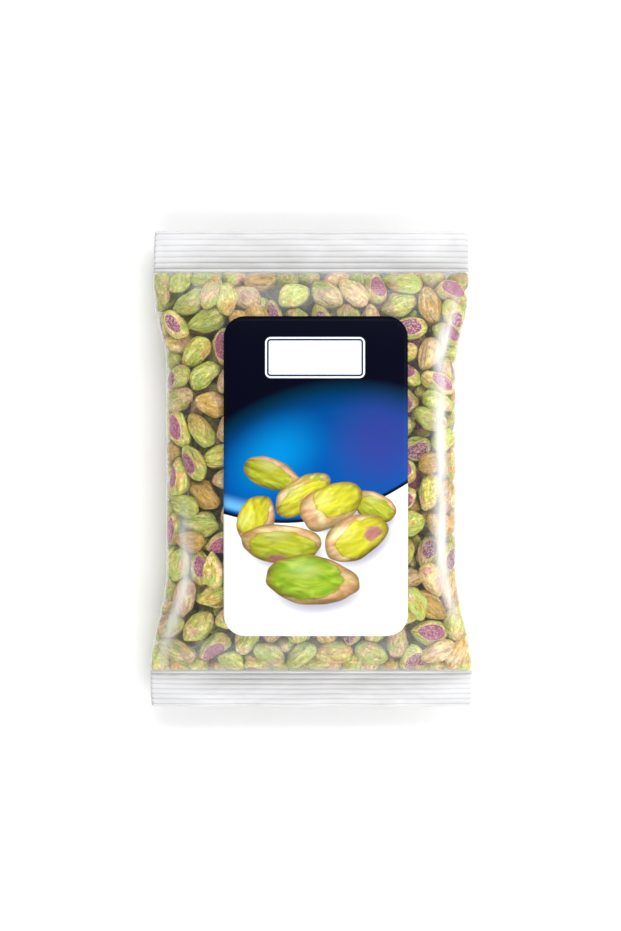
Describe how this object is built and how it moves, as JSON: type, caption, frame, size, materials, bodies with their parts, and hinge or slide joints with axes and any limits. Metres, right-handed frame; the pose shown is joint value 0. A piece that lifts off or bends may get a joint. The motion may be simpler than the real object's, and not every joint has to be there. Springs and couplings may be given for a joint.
{
  "type": "bag of shelled pistachios",
  "caption": "Clear-film pillow bag of shelled pistachio kernels, crimped shut at both ends, with a large round-cornered label on its front, lying on its back.",
  "frame": {"origin": "under the middle of the bag, on the surface it lies on", "axes": "+X across the bag, +Y from the bottom seal to the top seal, +Z out of the labelled front"},
  "size_m": [0.1356, 0.2002, 0.0324],
  "materials": {
    "clear_film": "clear glossy film, frosted in the crimped seals",
    "label_print": "satin print, dark blue above and white below",
    "kernel_bed": "dull yellow-green skins",
    "kernel_green": "wrinkled yellow-green skin",
    "kernel_cream": "pale cream skin",
    "kernel_mauve": "mauve-brown skin",
    "kernel_gold": "golden-brown wrinkled skin"
  },
  "bodies": {
    "root": {"film_bag": "clear_film", "front_label": "label_print", "kernel_bed": "kernel_bed", "kernel_01": "kernel_green", "kernel_02": "kernel_mauve", "kernel_03": "kernel_green", "kernel_04": "kernel_cream", "kernel_05": "kernel_green", "kernel_06": "kernel_gold", "kernel_07": "kernel_mauve", "kernel_08": "kernel_green", "kernel_09": "kernel_cream", "kernel_10": "kernel_mauve", "kernel_11": "kernel_green", "kernel_12": "kernel_mauve", "kernel_13": "kernel_green", "kernel_14": "kernel_cream", "kernel_15": "kernel_green", "kernel_16": "kernel_gold", "kernel_17": "kernel_mauve", "kernel_18": "kernel_green", "kernel_19": "kernel_cream", "kernel_20": "kernel_mauve", "kernel_21": "kernel_green", "kernel_22": "kernel_mauve", "kernel_23": "kernel_green", "kernel_24": "kernel_cream", "kernel_25": "kernel_green", "kernel_26": "kernel_gold", "kernel_27": "kernel_mauve", "kernel_28": "kernel_green", "kernel_29": "kernel_cream", "kernel_30": "kernel_mauve", "kernel_31": "kernel_green", "kernel_32": "kernel_mauve", "kernel_33": "kernel_green", "kernel_34": "kernel_cream", "kernel_35": "kernel_green", "kernel_36": "kernel_gold", "kernel_37": "kernel_mauve", "kernel_38": "kernel_green", "kernel_39": "kernel_cream", "kernel_40": "kernel_mauve", "kernel_41": "kernel_green", "kernel_42": "kernel_mauve", "kernel_43": "kernel_green", "kernel_44": "kernel_cream", "kernel_45": "kernel_green", "kernel_46": "kernel_gold", "kernel_47": "kernel_mauve", "kernel_48": "kernel_green", "kernel_49": "kernel_cream", "kernel_50": "kernel_mauve", "kernel_51": "kernel_green", "kernel_52": "kernel_mauve", "kernel_53": "kernel_green", "kernel_54": "kernel_cream", "kernel_55": "kernel_green", "kernel_56": "kernel_gold"}
  },
  "joints": []
}
